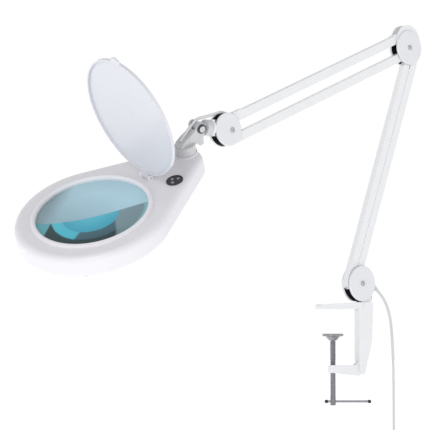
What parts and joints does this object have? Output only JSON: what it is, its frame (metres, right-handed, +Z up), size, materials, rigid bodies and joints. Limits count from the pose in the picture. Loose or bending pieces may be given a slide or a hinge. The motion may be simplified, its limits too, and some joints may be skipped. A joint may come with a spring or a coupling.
{
  "type": "magnifying lamp",
  "caption": "Clamp-on desk magnifying lamp with a round hinged-lid lens, ring light and a two-section parallelogram arm.",
  "frame": {"origin": "clamp screw axis in the underside of the jaw, the face that sits on the table top", "axes": "+Z up out of the table top; +X from the jaw towards the clamp's column, at the table's edge"},
  "size_m": [0.6346, 0.3418, 0.7375],
  "materials": {
    "painted_white": "satin white paint",
    "zinc": "zinc plate",
    "bright_steel": "polished",
    "white_plastic": "satin",
    "black_plastic": "matte",
    "grey_plastic": "translucent grey",
    "optical_glass": "polished",
    "diffuser": "frosted",
    "circuit_board": "white solder mask",
    "cord_plastic": "soft satin",
    "spring_steel": "oiled"
  },
  "bodies": {
    "clamp": {"clamp_frame": "painted_white"},
    "plate": {"pressure_plate": "zinc"},
    "screw": {"clamp_screw": "zinc"},
    "tommy": {"tommy_bar": "zinc", "tommy_balls": "zinc"},
    "fork": {"base_fork": "painted_white", "swivel_pin": "bright_steel", "base_cover_front": "white_plastic", "base_cover_back": "white_plastic", "base_cover_screws": "bright_steel", "base_pins": "bright_steel", "cord_relief": "cord_plastic", "cord_tube": "cord_plastic", "cord_coil": "cord_plastic", "cord_tie": "black_plastic", "plug_body": "cord_plastic", "plug_pins": "bright_steel"},
    "lower_main": {"lower_main_bar": "painted_white", "lower_main_ends": "white_plastic"},
    "lower_second": {"lower_second_bar": "painted_white", "lower_second_ends": "white_plastic", "lower_second_spring": "spring_steel"},
    "elbow": {"elbow_link": "painted_white", "elbow_cover_front": "white_plastic", "elbow_cover_back": "white_plastic", "elbow_cover_screws": "bright_steel", "elbow_pins": "bright_steel"},
    "upper_main": {"upper_main_bar": "painted_white", "upper_main_ends": "white_plastic"},
    "upper_second": {"upper_second_bar": "painted_white", "upper_second_ends": "white_plastic", "upper_second_spring": "spring_steel"},
    "knuckle": {"knuckle_link": "painted_white", "knuckle_cover_front": "white_plastic", "knuckle_cover_back": "white_plastic", "knuckle_cover_screws": "bright_steel", "knuckle_pins": "bright_steel", "neck_cable": "cord_plastic"},
    "nose": {"nose": "white_plastic"},
    "neck": {"neck_arm": "grey_plastic", "neck_nut": "bright_steel", "tilt_bolt": "bright_steel", "tilt_washers": "black_plastic", "tilt_knob": "black_plastic"},
    "head": {"upper_shell": "white_plastic", "lower_shell": "white_plastic", "head_screws": "bright_steel", "lens": "optical_glass", "lens_ring": "white_plastic", "diffuser": "diffuser", "led_board": "circuit_board", "driver_board": "circuit_board", "switch_bezel": "white_plastic", "switch_panel": "black_plastic", "switch_board": "circuit_board"},
    "lid": {"lid": "white_plastic", "lid_pin": "bright_steel"},
    "button_first": {"button_first": "black_plastic"},
    "button_second": {"button_second": "black_plastic"},
    "button_third": {"button_third": "black_plastic"}
  },
  "joints": [
    {"name": "plate_slide", "type": "slide", "parent": "clamp", "child": "plate", "axis": [0, 0, 1], "range_m": [-0.03, 0.028]},
    {"name": "screw_turn", "type": "hinge", "parent": "plate", "child": "screw", "pos_m": [0, 0, -0.08], "axis": [0, 0, 1], "range_deg": [-8700, 8100]},
    {"name": "tommy_slide", "type": "slide", "parent": "screw", "child": "tommy", "axis": [0.9659, -0.2588, 0], "range_m": [-0.0444, 0.0022]},
    {"name": "base_swivel", "type": "hinge", "parent": "clamp", "child": "fork", "pos_m": [0.047, 0, 0.01], "axis": [0, 0, 1], "range_deg": [-80, 80]},
    {"name": "lower_arm", "type": "hinge", "parent": "fork", "child": "lower_main", "pos_m": [0.03223, -0.00736, 0.043], "axis": [0.4462, -0.8949, 0], "range_deg": [0, 80]},
    {"name": "lower_second", "type": "hinge", "parent": "fork", "child": "lower_second", "pos_m": [0.01765, -0.01464, 0.0363], "axis": [0.4462, -0.8949, 0], "range_deg": [0, 80]},
    {"name": "elbow_level", "type": "hinge", "parent": "lower_main", "child": "elbow", "pos_m": [0.14473, 0.04873, 0.37393], "axis": [0.4462, -0.8949, 0], "range_deg": [-80, 0]},
    {"name": "upper_arm", "type": "hinge", "parent": "elbow", "child": "upper_main", "pos_m": [0.12657, 0.03967, 0.40593], "axis": [0.4462, -0.8949, 0], "range_deg": [-60, 20]},
    {"name": "upper_second", "type": "hinge", "parent": "elbow", "child": "upper_second", "pos_m": [0.12657, 0.03967, 0.37683], "axis": [0.4462, -0.8949, 0], "range_deg": [-60, 20]},
    {"name": "knuckle_level", "type": "hinge", "parent": "upper_main", "child": "knuckle", "pos_m": [-0.18835, -0.11734, 0.25219], "axis": [0.4462, -0.8949, 0], "range_deg": [-20, 60]},
    {"name": "nose_roll", "type": "hinge", "parent": "knuckle", "child": "nose", "pos_m": [-0.23542, -0.14081, 0.23999], "axis": [0.8949, 0.4462, 0], "range_deg": [-84, 36], "deforming": ["neck_cable"]},
    {"name": "head_tilt", "type": "hinge", "parent": "nose", "child": "neck", "pos_m": [-0.23542, -0.14081, 0.23999], "axis": [0.4076, -0.8176, -0.4067], "range_deg": [-60, 4], "deforming": ["neck_cable"]},
    {"name": "head_turn", "type": "hinge", "parent": "neck", "child": "head", "pos_m": [-0.24896, -0.13099, 0.20668], "axis": [-0.3144, -0.5438, 0.7781], "range_deg": [-93, 87]},
    {"name": "lid_hinge", "type": "hinge", "parent": "head", "child": "lid", "pos_m": [-0.3073, -0.14765, 0.17276], "axis": [-0.4519, 0.8065, 0.3811], "range_deg": [-88, 15]},
    {"name": "press_first", "type": "slide", "parent": "head", "child": "button_first", "axis": [0.3144, 0.5438, -0.7781], "range_m": [0, 0.0005], "stiffness_N_per_m": 500, "springref_m": -0.001},
    {"name": "press_second", "type": "slide", "parent": "head", "child": "button_second", "axis": [0.3144, 0.5438, -0.7781], "range_m": [0, 0.0005], "stiffness_N_per_m": 500, "springref_m": -0.001},
    {"name": "press_third", "type": "slide", "parent": "head", "child": "button_third", "axis": [0.3144, 0.5438, -0.7781], "range_m": [0, 0.0005], "stiffness_N_per_m": 500, "springref_m": -0.001}
  ],
  "couplings": [
    {"joint": "screw_turn", "follows": "plate_slide", "rad_per_m": 5026.5},
    {"joint": "lower_second", "follows": "lower_arm", "ratio": 1},
    {"joint": "elbow_level", "follows": "lower_arm", "ratio": -1},
    {"joint": "upper_second", "follows": "upper_arm", "ratio": 1},
    {"joint": "knuckle_level", "follows": "upper_arm", "ratio": -1}
  ]
}
